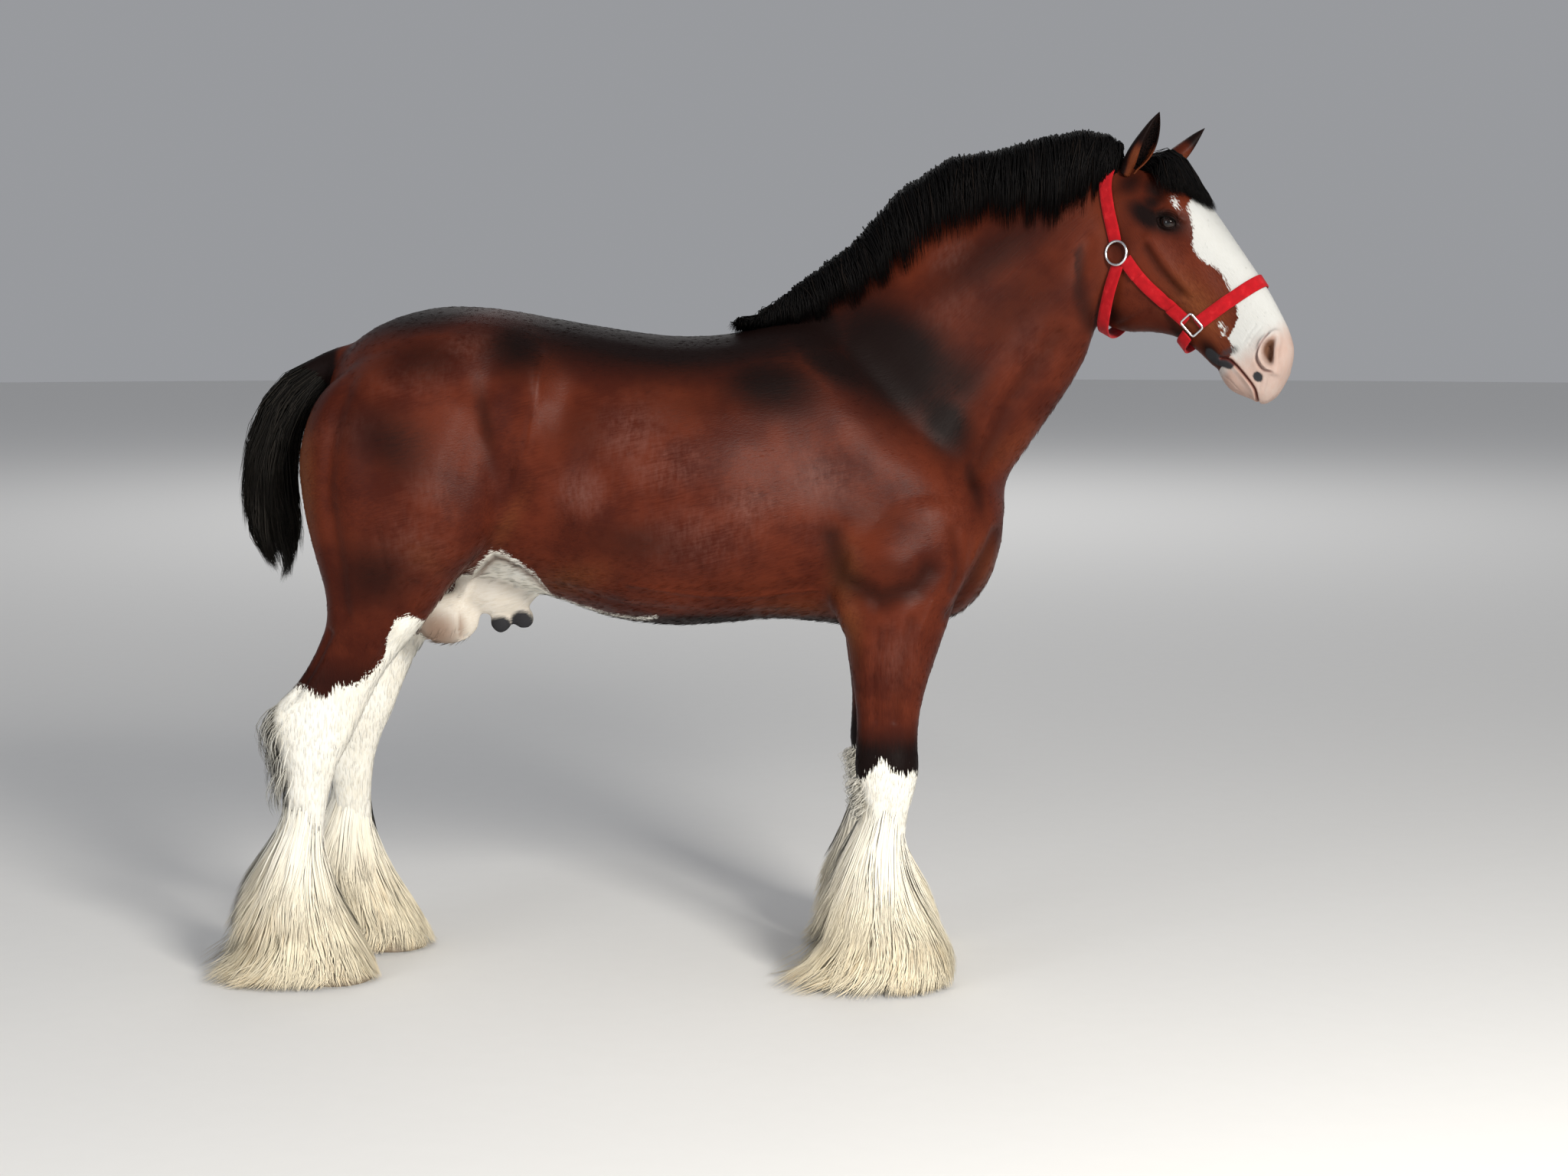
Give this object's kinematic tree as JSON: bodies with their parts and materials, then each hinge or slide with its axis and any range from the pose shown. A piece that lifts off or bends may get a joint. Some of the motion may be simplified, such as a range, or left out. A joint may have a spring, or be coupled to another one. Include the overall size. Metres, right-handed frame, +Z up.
{
  "type": "clydesdale horse",
  "caption": "Life-size standing heavy draught horse, bay with a white face and long white hair on its lower legs, head turned aside, wearing a halter.",
  "frame": {"origin": "on the floor under the middle of the bounding box", "axes": "+X the way the body faces, +Y to the horse's left, +Z up from the floor"},
  "size_m": [2.8318, 0.8286, 2.2977],
  "materials": {
    "coat": "short glossy hair",
    "feather": "long silky hair",
    "mane": "coarse hair",
    "hoof": "satin horn",
    "eye": "wet gloss",
    "web": "woven web",
    "metal": "polished"
  },
  "bodies": {
    "root": {"ear_left": "coat", "ear_right": "coat", "eye_left": "eye", "eye_right": "eye", "fore_cannon_left": "feather", "fore_cannon_right": "feather", "foreleg_left": "coat", "foreleg_right": "coat", "halter_cheek_left": "web", "halter_cheek_right": "web", "halter_cheek_ring_left": "metal", "halter_cheek_ring_right": "metal", "halter_chin": "web", "halter_crown": "web", "halter_jaw_ring_left": "metal", "halter_jaw_ring_right": "metal", "halter_noseband": "web", "halter_throat": "web", "head": "coat", "hind_cannon_left": "feather", "hind_cannon_right": "feather", "hindleg_left": "coat", "hindleg_right": "coat", "hoof_fore_left": "hoof", "hoof_fore_right": "hoof", "hoof_hind_left": "hoof", "hoof_hind_right": "hoof", "neck": "coat", "tail": "mane", "torso": "coat"}
  },
  "joints": []
}
